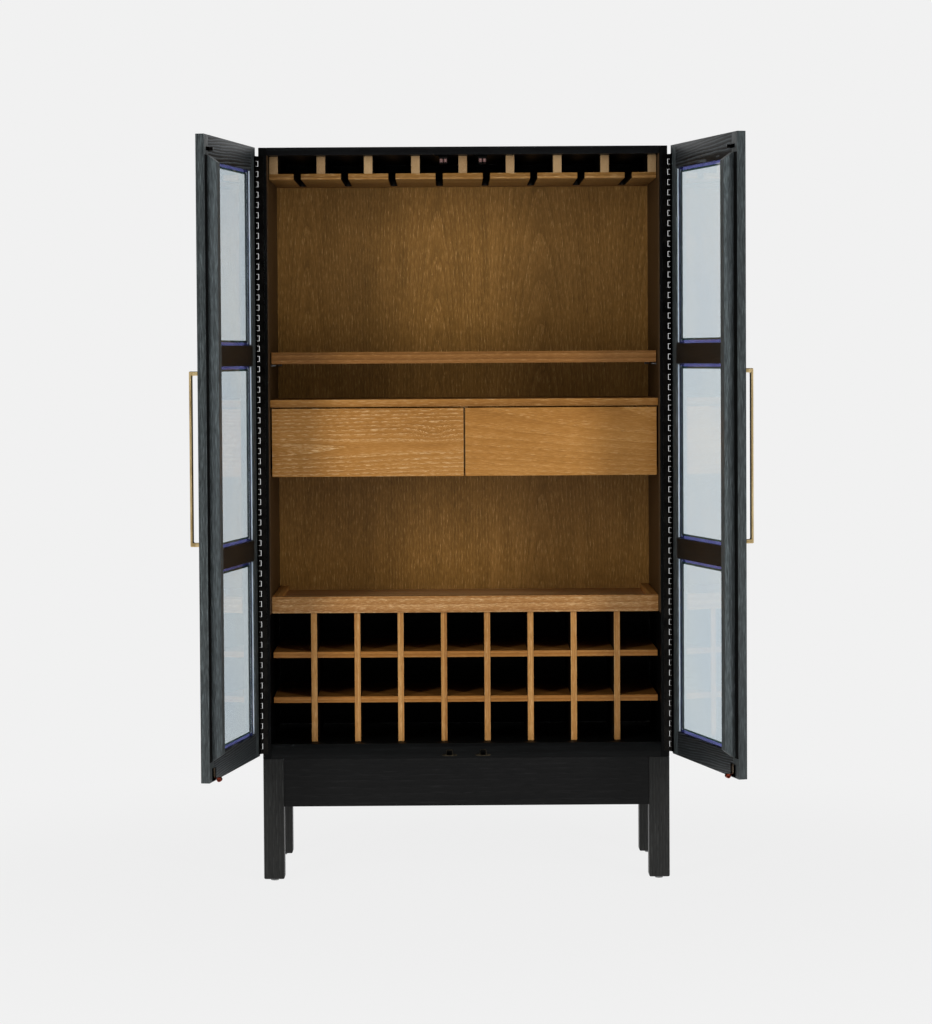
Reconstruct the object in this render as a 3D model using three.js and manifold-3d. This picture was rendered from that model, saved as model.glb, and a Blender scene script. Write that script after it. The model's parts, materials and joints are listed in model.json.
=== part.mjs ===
import * as THREE from "three";
import { mergeVertices } from "three/addons/utils/BufferGeometryUtils.js";
import Module from "manifold-3d";

// Bar armoire: a case on four legs behind two glazed doors, which stand open.
// Lengths are in millimetres, +Z is up and the doors are at the -Y side.
// Places are measured from the floor under the middle of the case's front face.

const wasm = await Module();
wasm.setup();

// Case
const caseWidth = 1016;
const caseDepth = 457;
const caseHeight = 1832;
const sidePanelThickness = 20;
const topPanelThickness = 19.5;
const bottomPanelThickness = 37.5;
const rearPanelThickness = 19;
const sideLiningThickness = 2.3;
const oakBackThickness = 12;

// Base
const legWidth = 51;
const legTop = 307.7;
const legChamfer = 2.5;
const glideHeight = 5.5;
const glideRadius = 10;
const apronHeight = 120;
const apronThickness = 22;
const apronSetback = 3;

// Bottle rack
const rackHeight = 324.2;
const rackSetback = 46;
const rackPlateThickness = 15;
const rackEndCellWidth = 100.05;
const rackDividerCount = 8;
const rackShelfCount = 2;
const rackShelfEndGap = 5.5;
const lapClearance = 0.4;

// Serving tray
const trayHeight = 41.5;
const traySetback = 34;
const traySideGap = 1;
const trayRimWidth = 22;
const trayRecessDepth = 12;

// Drawers
const lowerBayHeight = 300.5;
const drawerBoardThickness = 18.7;
const drawerBoardSetback = 36;
const drawerFrontHeight = 170.7;
const drawerFrontThickness = 20;
const drawerFrontSetback = 38;
const drawerFrontTopGap = 3.3;
const drawerFrontEndGap = 4;
const drawerFrontMiddleGap = 4;
const drawerFloorThickness = 18;
const drawerFloorRise = 2;
const partitionThickness = 18;
const runnerWidth = 26;
const runnerHeight = 8;
const drawerBoxSideGap = 3;
const drawerBoxHeight = 120;
const drawerBoxRearGap = 22.1;
const drawerBoxWall = 12;
const drawerBoxBottom = 8;
const drawerGuideWidth = 12;
const drawerGuideClearance = 0.6;

// Shelf on four pins
const middleBayHeight = 89.8;
const shelfThickness = 29.2;
const shelfSetback = 60;
const shelfEndGap = 2.5;
const pinRadius = 3;
const pinClearance = 0.3;
const pinHoleDepth = 9;
const pinReach = 12;
const pinInset = 45;

// Stemware rack
const stemBlockHeight = 43.2;
const stemBoardThickness = 14;
const stemSetback = 47.5;
const stemEndGap = 2;
const stemBlockWidth = 21.5;
const stemSlotCount = 8;
const stemSlotWidth = 18.5;
const stemSlotRearLand = 60.2;

// Doors
const doorMeetingGap = 3;
const doorFootReveal = 8.6;
const doorThickness = 21;
const hingeStileWidth = 40;
const freeStileWidth = 54.5;
const railHeight = 58.3;
const muntinHeight = 50;
const paneCount = 3;
const paneThickness = 4;
const paneInset = 8;
const paneTongue = 6;
const leftDoorAngle = THREE.MathUtils.degToRad(99.94);
const rightDoorAngle = THREE.MathUtils.degToRad(103.69);
const stileGrooveDepth = 2;
const stileGrooveLand = 3;

// Batten on the inner face of each free stile
const battenWidth = 27;
const battenDepth = 24;
const battenEdgeInset = 27;
const battenEndInset = 47.5;
const battenTipInset = 17.5;

// Piano hinges
const hingeEdgeGap = 4.9;
const hingeFaceGap = 3.4;
const hingeFootInset = 4.7;
const hingeHeadInset = 21;
const hingeKnuckleCount = 23;
const hingeBarrelRadius = 4.25;
const hingePinRadius = 2;
const hingePinClearance = 0.3;
const hingeLeafThickness = 1.2;
const hingeLeafWidth = 12.5;
const knuckleGap = 0.4;

// Bar handles
const handleLength = 411.5;
const handleProjection = 29;
const handleBarThickness = 8;
const handlePostHeight = 10;
const handleEdgeInset = 35;

// Double-roller catches under the top panel
const catchCentre = 48.5;
const catchSetback = 3;
const catchPlateWidth = 21;
const catchPlateLength = 30;
const catchPlateThickness = 2;
const rollerRadius = 4.2;
const rollerGap = 2;
const rollerHeight = 11;
const rollerDrop = 9.5;
const rollerPinRadius = 1.6;
const rollerPinTail = 2;

// Fits shared by all pieces
const seatGap = 0.3;
const cutOverrun = 3;
const joinDepth = 0.8;

// Facets
const roundSides = 16;
const hingeSides = 8;
const slotEndSteps = 6;

// Derived places of the case
const sideOuterX = caseWidth / 2;
const sideInnerX = sideOuterX - sidePanelThickness;
const liningOuterX = sideInnerX - seatGap;
const liningInnerX = liningOuterX - sideLiningThickness;
const topPanelBottom = caseHeight - topPanelThickness;
const bottomPanelTop = legTop + bottomPanelThickness;
const rearPanelFront = caseDepth - rearPanelThickness;
const oakBackRear = rearPanelFront - seatGap;
const oakBackFront = oakBackRear - oakBackThickness;

// Derived heights of the fittings, from the bottom up
const rackBottom = bottomPanelTop + seatGap;
const rackTop = rackBottom + rackHeight;
const rackRear = rearPanelFront - seatGap;
const trayBottom = rackTop + seatGap;
const trayTop = trayBottom + trayHeight;
const drawerFrontBottom = trayTop + lowerBayHeight;
const drawerFrontTop = drawerFrontBottom + drawerFrontHeight;
const drawerBoardBottom = drawerFrontTop + drawerFrontTopGap;
const drawerBoardTop = drawerBoardBottom + drawerBoardThickness;
const drawerFrontRear = drawerFrontSetback + drawerFrontThickness;
const drawerFloorBottom = drawerFrontBottom + drawerFloorRise;
const drawerFloorTop = drawerFloorBottom + drawerFloorThickness;
const drawerBoxZ = drawerFloorTop + seatGap + runnerHeight + seatGap;
const shelfBottom = drawerBoardTop + middleBayHeight;
const shelfTop = shelfBottom + shelfThickness;
const pinHeight = shelfBottom - seatGap - pinRadius;
const stemBlockTop = topPanelBottom - seatGap;
const stemBoardTop = stemBlockTop - stemBlockHeight;
const stemBoardBottom = stemBoardTop - stemBoardThickness;
const fittingRear = oakBackFront - seatGap;

// Derived places of the doors, measured from the hinge axis of a shut door
const hingeX = sideOuterX + hingeEdgeGap;
const hingeY = -hingeFaceGap / 2;
const doorTop = caseHeight;
const doorBottom = legTop + doorFootReveal;
const doorHeight = doorTop - doorBottom;
const doorMiddle = (doorTop + doorBottom) / 2;
const doorInnerY = -hingeFaceGap / 2;
const doorOuterY = doorInnerY - doorThickness;
const doorWidth = (caseWidth - doorMeetingGap) / 2;
const doorHingeEdge = hingeEdgeGap;
const doorFreeEdge = doorHingeEdge + doorWidth;
const paneOpeningWidth = doorWidth - hingeStileWidth - freeStileWidth;
const paneRows = doorHeight - 2 * railHeight - (paneCount - 1) * muntinHeight;
const paneOpeningHeight = paneRows / paneCount;
const hingeBottom = doorBottom + hingeFootInset;
const hingeLength = doorTop - hingeHeadInset - hingeBottom;
const knuckleLength = hingeLength / hingeKnuckleCount;

function surfaceMaterial(color, roughness, metalness) {
  return new THREE.MeshStandardMaterial({ color, roughness, metalness });
}

const blackOak = surfaceMaterial(0x262626, 0.55, 0);
const limedOak = surfaceMaterial(0xb07c3e, 0.6, 0);
const brownOak = surfaceMaterial(0x6b4a26, 0.6, 0);
const birch = surfaceMaterial(0xc9a878, 0.6, 0);
const blackMetal = surfaceMaterial(0x1d1b1a, 0.4, 0.9);
const steel = surfaceMaterial(0x8c8c8c, 0.35, 1);
const brass = surfaceMaterial(0xb59a63, 0.35, 1);
const glass = surfaceMaterial(0xb6bec8, 0.05, 0);
glass.transparent = true;
glass.opacity = 0.35;

const armoire = new THREE.Group();

function addPiece(parent, name, material, geometry) {
  const mesh = new THREE.Mesh(geometry, material);
  mesh.name = name;
  parent.add(mesh);
  return mesh;
}

// A block between two places on each axis, given in either order.
function block(xs, ys, zs) {
  const low = new THREE.Vector3(Math.min(...xs), Math.min(...ys), Math.min(...zs));
  const high = new THREE.Vector3(Math.max(...xs), Math.max(...ys), Math.max(...zs));
  const size = high.clone().sub(low);
  const centre = high.add(low).divideScalar(2);
  return new THREE.BoxGeometry(size.x, size.y, size.z).translate(centre.x, centre.y, centre.z);
}

function shapeThrough(points) {
  return new THREE.Shape(points.map(([a, b]) => new THREE.Vector2(a, b)));
}

// A plate cut to an outline of X and Y places, between two heights.
function levelPlate(points, bottom, top) {
  const options = { depth: top - bottom, bevelEnabled: false };
  return new THREE.ExtrudeGeometry(shapeThrough(points), options).translate(0, 0, bottom);
}

// A plate cut to an outline of Y and Z places, between two X places.
function uprightPlate(points, xs) {
  const left = Math.min(...xs);
  const options = { depth: Math.max(...xs) - left, bevelEnabled: false };
  const turn = new THREE.Matrix4().makeBasis(
    new THREE.Vector3(0, 1, 0),
    new THREE.Vector3(0, 0, 1),
    new THREE.Vector3(1, 0, 0),
  );
  return new THREE.ExtrudeGeometry(shapeThrough(points), options).applyMatrix4(turn).translate(left, 0, 0);
}

// A round bar along Z, centred at x and y.
function uprightRod(radius, x, y, zs, sides) {
  const bottom = Math.min(...zs);
  const length = Math.max(...zs) - bottom;
  const rod = new THREE.CylinderGeometry(radius, radius, length, sides).rotateX(Math.PI / 2);
  return rod.translate(x, y, bottom + length / 2);
}

// A round bar along X, centred at y and z.
function crossRod(radius, xs, y, z, sides) {
  const left = Math.min(...xs);
  const length = Math.max(...xs) - left;
  const rod = new THREE.CylinderGeometry(radius, radius, length, sides).rotateZ(Math.PI / 2);
  return rod.translate(left + length / 2, y, z);
}

function toSolid(geometry) {
  const bare = geometry.clone();
  bare.deleteAttribute("normal");
  bare.deleteAttribute("uv");
  const merged = mergeVertices(bare);
  return new wasm.Manifold(
    new wasm.Mesh({
      numProp: 3,
      vertProperties: merged.attributes.position.array,
      triVerts: new Uint32Array(merged.index.array),
    }),
  );
}

function fromSolid(solid) {
  const mesh = solid.getMesh();
  const geometry = new THREE.BufferGeometry();
  geometry.setAttribute("position", new THREE.BufferAttribute(mesh.vertProperties, mesh.numProp));
  geometry.setIndex(new THREE.BufferAttribute(mesh.triVerts, 1));
  geometry.computeVertexNormals();
  return geometry;
}

// One geometry less the others that cut it.
function cut(geometry, cutters) {
  return fromSolid(cutters.reduce((solid, cutter) => solid.subtract(toSolid(cutter)), toSolid(geometry)));
}

function join(geometries) {
  return fromSolid(geometries.map(toSolid).reduce((solid, next) => solid.add(next)));
}

function sideName(side) {
  return side < 0 ? "left" : "right";
}

// Case panels, with blind holes for the shelf pins in the sides

function pinPlaces() {
  return [shelfSetback + pinInset, fittingRear - pinInset];
}

function pinHoles(side) {
  const xs = [side * (liningInnerX - cutOverrun), side * (sideInnerX + pinHoleDepth)];
  return pinPlaces().map((y) => crossRod(pinRadius + pinClearance, xs, y, pinHeight, roundSides));
}

function buildCase() {
  const insideXs = [-sideInnerX + seatGap, sideInnerX - seatGap];
  const liningBottom = trayBottom;
  addPiece(armoire, "top_panel", blackOak, block(insideXs, [0, caseDepth], [topPanelBottom, caseHeight]));
  addPiece(armoire, "bottom_panel", blackOak, block(insideXs, [0, caseDepth], [legTop, bottomPanelTop]));
  const rearZs = [bottomPanelTop + seatGap, topPanelBottom - seatGap];
  addPiece(armoire, "rear_panel", blackOak, block(insideXs, [rearPanelFront, caseDepth], rearZs));
  const oakBackZs = [trayBottom, stemBoardBottom - seatGap];
  addPiece(armoire, "oak_back_panel", brownOak, block(insideXs, [oakBackFront, oakBackRear], oakBackZs));
  for (const side of [-1, 1]) {
    const panel = block([side * sideInnerX, side * sideOuterX], [0, caseDepth], [legTop, caseHeight]);
    addPiece(armoire, `${sideName(side)}_side_panel`, blackOak, cut(panel, pinHoles(side)));
    const liningXs = [side * liningInnerX, side * liningOuterX];
    const lining = block(liningXs, [0, fittingRear], [liningBottom, topPanelBottom - seatGap]);
    addPiece(armoire, `${sideName(side)}_side_lining`, brownOak, cut(lining, pinHoles(side)));
  }
}

// Base: four legs on round glides, and four aprons between them

function legGeometry(side, outerY, innerY) {
  const corners = [
    [0, 0],
    [legWidth, 0],
    [legWidth, legWidth],
    [0, legWidth],
  ];
  const options = {
    depth: legTop,
    bevelThickness: legChamfer,
    bevelSize: legChamfer,
    bevelOffset: -legChamfer,
    bevelSegments: 1,
  };
  const left = Math.min(side * sideOuterX, side * (sideOuterX - legWidth));
  const front = Math.min(outerY, innerY);
  const post = new THREE.ExtrudeGeometry(shapeThrough(corners), options);
  post.translate(left, front, glideHeight + legChamfer);
  const middleX = left + legWidth / 2;
  const middleY = front + legWidth / 2;
  const glide = uprightRod(glideRadius, middleX, middleY, [0, glideHeight + joinDepth], roundSides);
  const trimXs = [left - cutOverrun, left + legWidth + cutOverrun];
  const trimYs = [front - cutOverrun, front + legWidth + cutOverrun];
  const trim = block(trimXs, trimYs, [legTop - seatGap, legTop + glideHeight + 2 * legChamfer + cutOverrun]);
  return cut(join([post, glide]), [trim]);
}

function buildBase() {
  const legInnerX = sideOuterX - legWidth;
  const apronXs = [-legInnerX + seatGap, legInnerX - seatGap];
  const apronZs = [legTop - apronHeight, legTop - seatGap];
  const apronRear = caseDepth - apronSetback;
  const frontYs = [apronSetback, apronSetback + apronThickness];
  addPiece(armoire, "front_apron", blackOak, block(apronXs, frontYs, apronZs));
  addPiece(armoire, "rear_apron", blackOak, block(apronXs, [apronRear - apronThickness, apronRear], apronZs));
  for (const side of [-1, 1]) {
    const name = sideName(side);
    const outerX = sideOuterX - apronSetback;
    const xs = [side * outerX, side * (outerX - apronThickness)];
    const ys = [legWidth + seatGap, caseDepth - legWidth - seatGap];
    addPiece(armoire, `${name}_apron`, blackOak, block(xs, ys, apronZs));
    addPiece(armoire, `front_${name}_leg`, blackOak, legGeometry(side, 0, legWidth));
    addPiece(armoire, `rear_${name}_leg`, blackOak, legGeometry(side, caseDepth, caseDepth - legWidth));
  }
}

// Bottle rack: upright dividers notched from the rear over shelves notched from the front

function dividerPlaces() {
  const endX = sideInnerX - rackEndCellWidth - rackPlateThickness / 2;
  const pitch = (2 * endX) / (rackDividerCount - 1);
  return Array.from({ length: rackDividerCount }, (_, index) => index * pitch - endX);
}

function rackShelfPlaces() {
  const clearHeight = rackHeight - rackShelfCount * rackPlateThickness;
  const cellHeight = clearHeight / (rackShelfCount + 1);
  const step = cellHeight + rackPlateThickness;
  return Array.from({ length: rackShelfCount }, (_, index) => rackBottom + cellHeight + index * step);
}

function buildBottleRack() {
  const lapY = (rackSetback + rackRear) / 2;
  const halfPlate = rackPlateThickness / 2;
  const shelfEndX = sideInnerX - rackShelfEndGap;
  const dividerOutline = [
    [rackRear, rackTop],
    [rackSetback, rackTop],
    [rackSetback, rackBottom],
    [rackRear, rackBottom],
  ];
  for (const bottom of rackShelfPlaces()) {
    const low = bottom - lapClearance;
    const high = bottom + rackPlateThickness + lapClearance;
    dividerOutline.push([rackRear, low], [lapY - lapClearance / 2, low]);
    dividerOutline.push([lapY - lapClearance / 2, high], [rackRear, high]);
  }
  dividerPlaces().forEach((x, index) => {
    const geometry = uprightPlate(dividerOutline, [x - halfPlate, x + halfPlate]);
    addPiece(armoire, `rack_divider_${index + 1}`, limedOak, geometry);
  });
  const shelfOutline = [
    [shelfEndX, rackSetback],
    [shelfEndX, rackRear],
    [-shelfEndX, rackRear],
    [-shelfEndX, rackSetback],
  ];
  for (const x of dividerPlaces()) {
    const left = x - halfPlate - lapClearance;
    const right = x + halfPlate + lapClearance;
    shelfOutline.push([left, rackSetback], [left, lapY + lapClearance / 2]);
    shelfOutline.push([right, lapY + lapClearance / 2], [right, rackSetback]);
  }
  rackShelfPlaces().forEach((bottom, index) => {
    const geometry = levelPlate(shelfOutline, bottom, bottom + rackPlateThickness);
    addPiece(armoire, `rack_shelf_${index + 1}`, limedOak, geometry);
  });
}

// Serving tray, recessed between its side rims and behind its front rim

function buildTray() {
  const trayX = liningInnerX - traySideGap;
  const outer = block([-trayX, trayX], [traySetback, fittingRear], [trayBottom, trayTop]);
  const recessX = trayX - trayRimWidth;
  const recessYs = [traySetback + trayRimWidth, fittingRear + cutOverrun];
  const recess = block([-recessX, recessX], recessYs, [trayTop - trayRecessDepth, trayTop + cutOverrun]);
  addPiece(armoire, "serving_tray", limedOak, cut(outer, [recess]));
}

// Drawer unit: boards, a partition, a runner under each drawer, and the drawers

function buildDrawerUnit() {
  const boardX = liningInnerX - seatGap;
  const boardXs = [-boardX, boardX];
  const boardZs = [drawerBoardBottom, drawerBoardTop];
  const innerFront = drawerFrontRear + seatGap;
  addPiece(armoire, "drawer_top_board", limedOak, block(boardXs, [drawerBoardSetback, fittingRear], boardZs));
  const floorZs = [drawerFloorBottom, drawerFloorTop];
  addPiece(armoire, "drawer_floor_board", limedOak, block(boardXs, [innerFront, fittingRear], floorZs));
  const partitionXs = [-partitionThickness / 2, partitionThickness / 2];
  const partitionZs = [drawerFloorTop + seatGap, drawerBoardBottom - seatGap];
  addPiece(armoire, "drawer_partition", birch, block(partitionXs, [innerFront, fittingRear], partitionZs));
  for (const side of [-1, 1]) {
    buildDrawer(side, boardX, innerFront);
  }
}

function buildDrawer(side, boardX, innerFront) {
  const name = sideName(side);
  const frontXs = [side * (drawerFrontMiddleGap / 2), side * (liningInnerX - drawerFrontEndGap)];
  const frontYs = [drawerFrontSetback, drawerFrontRear];
  const front = block(frontXs, frontYs, [drawerFrontBottom, drawerFrontTop]);
  addPiece(armoire, `${name}_drawer_front`, limedOak, front);
  const nearX = partitionThickness / 2 + drawerBoxSideGap;
  const farX = liningInnerX - drawerBoxSideGap;
  const middleX = (nearX + farX) / 2;
  const runnerXs = [side * (middleX - runnerWidth / 2), side * (middleX + runnerWidth / 2)];
  const runnerBottom = drawerFloorTop + seatGap;
  const runner = block(runnerXs, [innerFront, fittingRear], [runnerBottom, runnerBottom + runnerHeight]);
  addPiece(armoire, `${name}_drawer_runner`, birch, runner);
  const boxYs = [innerFront, fittingRear - drawerBoxRearGap];
  const outer = block([side * nearX, side * farX], boxYs, [drawerBoxZ, drawerBoxZ + drawerBoxHeight]);
  const hollowXs = [side * (nearX + drawerBoxWall), side * (farX - drawerBoxWall)];
  const hollowYs = [boxYs[0] + drawerBoxWall, boxYs[1] - drawerBoxWall];
  const hollowZs = [drawerBoxZ + drawerBoxBottom, drawerBoxZ + drawerBoxHeight + cutOverrun];
  const box = cut(outer, [block(hollowXs, hollowYs, hollowZs)]);
  const guideZs = [runnerBottom + drawerGuideClearance, drawerBoxZ + joinDepth];
  const guides = [-1, 1].map((hand) => {
    const inner = middleX + hand * (runnerWidth / 2 + drawerGuideClearance);
    const outerEdge = inner + hand * drawerGuideWidth;
    return block([side * inner, side * outerEdge], boxYs, guideZs);
  });
  addPiece(armoire, `${name}_drawer_box`, birch, join([box, ...guides]));
}

// Loose shelf resting on four pins

function buildShelf() {
  const shelfX = liningInnerX - shelfEndGap;
  const geometry = block([-shelfX, shelfX], [shelfSetback, fittingRear], [shelfBottom, shelfTop]);
  addPiece(armoire, "bar_shelf", limedOak, geometry);
  for (const side of [-1, 1]) {
    pinPlaces().forEach((y, index) => {
      const xs = [side * (liningInnerX - pinReach), side * (sideInnerX + pinHoleDepth - seatGap)];
      const name = `${["front", "rear"][index]}_${sideName(side)}_shelf_pin`;
      addPiece(armoire, name, steel, crossRod(pinRadius, xs, y, pinHeight, roundSides));
    });
  }
}

// Stemware rack: a slotted board hung from blocks, which leave a channel over each slot

function slotOutline(x) {
  const radius = stemSlotWidth / 2;
  const centreY = rackRear - stemSlotRearLand - radius;
  const points = [[x - radius, stemSetback]];
  for (let step = 0; step <= slotEndSteps; step += 1) {
    const angle = Math.PI - (step * Math.PI) / slotEndSteps;
    points.push([x + radius * Math.cos(angle), centreY + radius * Math.sin(angle)]);
  }
  points.push([x + radius, stemSetback]);
  return points;
}

function buildStemwareRack() {
  const boardX = liningInnerX - stemEndGap;
  const endBlockX = boardX - stemBlockWidth / 2;
  const blockPitch = (2 * endBlockX) / stemSlotCount;
  const outline = [
    [boardX, stemSetback],
    [boardX, rackRear],
    [-boardX, rackRear],
    [-boardX, stemSetback],
  ];
  for (let slot = 0; slot < stemSlotCount; slot += 1) {
    outline.push(...slotOutline((slot + 1) * blockPitch - blockPitch / 2 - endBlockX));
  }
  const board = levelPlate(outline, stemBoardBottom, stemBoardTop);
  const blockZs = [stemBoardTop - joinDepth, stemBlockTop];
  const blocks = Array.from({ length: stemSlotCount + 1 }, (_, index) => {
    const x = index * blockPitch - endBlockX;
    const xs = [x - stemBlockWidth / 2, x + stemBlockWidth / 2];
    return block(xs, [stemSetback, rackRear], blockZs);
  });
  addPiece(armoire, "stemware_rack", limedOak, join([board, ...blocks]));
}

// Double-roller catches: a plate, two pins and two rollers

function buildCatch(side) {
  const plateTop = topPanelBottom - seatGap;
  const plateBottom = plateTop - catchPlateThickness;
  const rollerTop = topPanelBottom - rollerDrop;
  const rollerBottom = rollerTop - rollerHeight;
  const halfPlate = catchPlateWidth / 2;
  const centre = side * catchCentre;
  const plateYs = [catchSetback, catchSetback + catchPlateLength];
  const plate = block([centre - halfPlate, centre + halfPlate], plateYs, [plateBottom, plateTop]);
  const rollerY = catchSetback + rollerRadius;
  const rollers = [-1, 1].flatMap((hand) => {
    const x = centre + hand * (rollerGap / 2 + rollerRadius);
    return [
      uprightRod(rollerRadius, x, rollerY, [rollerBottom, rollerTop], roundSides),
      uprightRod(rollerPinRadius, x, rollerY, [rollerBottom - rollerPinTail, plateTop - joinDepth], hingeSides),
    ];
  });
  addPiece(armoire, `${sideName(side)}_roller_catch`, steel, join([plate, ...rollers]));
}

// Piano hinge leaves. Knuckles alternate: the case leaf has the first, the last and the pin.

function knuckleZs(index) {
  const bottom = hingeBottom + index * knuckleLength;
  return [bottom + knuckleGap / 2, bottom + knuckleLength - knuckleGap / 2];
}

function ownKnuckles(first) {
  const indices = [];
  for (let index = first; index < hingeKnuckleCount; index += 2) {
    indices.push(index);
  }
  return indices;
}

// A leaf beside the axis, which lies at zero; plateYs holds the leaf's two faces.
function leafPieces(side, plateYs, first) {
  const clearEdge = hingeBarrelRadius + seatGap;
  const rootEdge = (hingeBarrelRadius + hingePinRadius + hingePinClearance) / 2;
  const farEdge = hingeEdgeGap + hingeLeafWidth;
  const zs = [hingeBottom, hingeBottom + hingeLength];
  const plate = block([-side * clearEdge, -side * farEdge], plateYs, zs);
  const tabs = ownKnuckles(first).map((index) => {
    return block([-side * rootEdge, -side * (clearEdge + joinDepth)], plateYs, knuckleZs(index));
  });
  const barrels = ownKnuckles(first).map((index) => {
    return uprightRod(hingeBarrelRadius, 0, 0, knuckleZs(index), hingeSides);
  });
  return [plate, ...tabs, ...barrels];
}

function caseLeafGeometry(side) {
  const rearY = hingeFaceGap / 2 - seatGap;
  const pieces = leafPieces(side, [rearY - hingeLeafThickness, rearY], 0);
  const pin = uprightRod(hingePinRadius, 0, 0, [hingeBottom, hingeBottom + hingeLength], hingeSides);
  return join([...pieces, pin]);
}

function doorLeafGeometry(side) {
  const frontY = doorInnerY + seatGap;
  const pieces = leafPieces(side, [frontY, frontY + hingeLeafThickness], 1);
  const zs = [hingeBottom - cutOverrun, hingeBottom + hingeLength + cutOverrun];
  const bore = uprightRod(hingePinRadius + hingePinClearance, 0, 0, zs, hingeSides);
  return cut(join(pieces), [bore]);
}

// Doors: a frame with grooved openings and a shallow felt groove, panes, a batten and a bar handle

function paneZs(index) {
  const bottom = doorBottom + railHeight + index * (paneOpeningHeight + muntinHeight);
  return [bottom, bottom + paneOpeningHeight];
}

function grow(span, amount) {
  return [Math.min(...span) - amount, Math.max(...span) + amount];
}

function doorFrameGeometry(side, openingXs, glassYs) {
  const frameXs = [-side * doorHingeEdge, -side * doorFreeEdge];
  const frame = block(frameXs, [doorOuterY, doorInnerY], [doorBottom, doorTop]);
  const throughYs = grow([doorOuterY, doorInnerY], cutOverrun);
  const cutters = [];
  for (let index = 0; index < paneCount; index += 1) {
    const grooveXs = grow(openingXs, paneTongue + seatGap);
    cutters.push(block(openingXs, throughYs, paneZs(index)));
    cutters.push(block(grooveXs, grow(glassYs, seatGap), grow(paneZs(index), paneTongue + seatGap)));
  }
  const stripXs = [-side * (doorFreeEdge - stileGrooveLand), -side * (doorFreeEdge - battenEdgeInset)];
  const stripYs = [doorInnerY - stileGrooveDepth, doorInnerY + cutOverrun];
  cutters.push(block(stripXs, stripYs, [doorBottom + battenEndInset, doorTop - battenEndInset]));
  return cut(frame, cutters);
}

function battenGeometry(side) {
  const foot = doorInnerY + seatGap;
  const crest = doorInnerY + battenDepth;
  const low = doorBottom + battenEndInset;
  const high = doorTop - battenEndInset;
  const outline = [
    [foot, low],
    [crest, low + battenTipInset],
    [crest, high - battenTipInset],
    [foot, high],
  ];
  const outerEdge = doorFreeEdge - battenEdgeInset;
  return uprightPlate(outline, [-side * outerEdge, -side * (outerEdge - battenWidth)]);
}

function handleGeometry(side) {
  const foot = doorOuterY - seatGap;
  const crest = doorOuterY - handleProjection;
  const barInner = crest + handleBarThickness;
  const low = doorMiddle - handleLength / 2;
  const high = doorMiddle + handleLength / 2;
  const outline = [
    [crest, low],
    [foot, low],
    [foot, low + handlePostHeight],
    [barInner, low + handlePostHeight],
    [barInner, high - handlePostHeight],
    [foot, high - handlePostHeight],
    [foot, high],
    [crest, high],
  ];
  const centre = doorFreeEdge - handleEdgeInset;
  const halfBar = handleBarThickness / 2;
  return uprightPlate(outline, [-side * (centre - halfBar), -side * (centre + halfBar)]);
}

function buildDoor(side, angle) {
  const name = sideName(side);
  const hinge = new THREE.Group();
  hinge.position.set(side * hingeX, hingeY, 0);
  armoire.add(hinge);
  addPiece(hinge, `${name}_hinge_case_leaf`, blackMetal, caseLeafGeometry(side));
  const door = new THREE.Group();
  door.rotation.z = side * angle;
  hinge.add(door);
  addPiece(door, `${name}_hinge_door_leaf`, blackMetal, doorLeafGeometry(side));
  const openingNear = doorHingeEdge + hingeStileWidth;
  const openingXs = [-side * openingNear, -side * (openingNear + paneOpeningWidth)];
  const glassRear = doorInnerY - paneInset;
  const glassYs = [glassRear - paneThickness, glassRear];
  addPiece(door, `${name}_door_frame`, blackOak, doorFrameGeometry(side, openingXs, glassYs));
  for (let index = 0; index < paneCount; index += 1) {
    const pane = block(grow(openingXs, paneTongue), glassYs, grow(paneZs(index), paneTongue));
    addPiece(door, `${name}_door_pane_${index + 1}`, glass, pane);
  }
  addPiece(door, `${name}_door_batten`, blackOak, battenGeometry(side));
  addPiece(door, `${name}_door_handle`, brass, handleGeometry(side));
}

buildCase();
buildBase();
buildBottleRack();
buildTray();
buildDrawerUnit();
buildShelf();
buildStemwareRack();
buildDoor(-1, leftDoorAngle);
buildDoor(1, rightDoorAngle);
for (const side of [-1, 1]) {
  buildCatch(side);
}

// The origin is the middle of the whole part's footprint, on the floor.
const bounds = new THREE.Box3().setFromObject(armoire, true);
const middle = bounds.getCenter(new THREE.Vector3());
armoire.position.set(-middle.x, -middle.y, -bounds.min.z);

export default armoire;
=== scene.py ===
import json
import math
from functools import partial

import bmesh
import bpy
from mathutils import Matrix, Vector


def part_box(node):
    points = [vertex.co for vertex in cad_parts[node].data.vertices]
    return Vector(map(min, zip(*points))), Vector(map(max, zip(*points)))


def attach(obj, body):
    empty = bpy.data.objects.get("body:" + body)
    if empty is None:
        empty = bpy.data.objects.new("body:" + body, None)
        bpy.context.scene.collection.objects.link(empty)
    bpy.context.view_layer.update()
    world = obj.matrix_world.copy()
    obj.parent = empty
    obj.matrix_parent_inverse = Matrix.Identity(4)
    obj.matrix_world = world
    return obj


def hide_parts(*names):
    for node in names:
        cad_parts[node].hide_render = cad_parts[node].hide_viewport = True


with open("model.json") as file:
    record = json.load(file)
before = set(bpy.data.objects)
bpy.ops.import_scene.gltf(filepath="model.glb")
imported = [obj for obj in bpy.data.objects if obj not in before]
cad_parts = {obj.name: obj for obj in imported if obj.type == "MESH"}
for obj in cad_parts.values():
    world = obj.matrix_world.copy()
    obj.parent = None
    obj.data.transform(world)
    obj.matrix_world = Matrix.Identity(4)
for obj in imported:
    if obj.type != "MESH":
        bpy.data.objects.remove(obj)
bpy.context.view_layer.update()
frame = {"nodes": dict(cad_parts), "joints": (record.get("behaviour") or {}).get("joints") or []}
nodes = frame["nodes"]
mm = 0.001
past = 5  # a cutter reaches this far past the piece it cuts
tolerance = mm / 10  # places closer than this count as the same
square = 0.9  # a face counts as looking one way when its normal goes at least this far that way
sideName = {-1: "left", 1: "right"}
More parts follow.
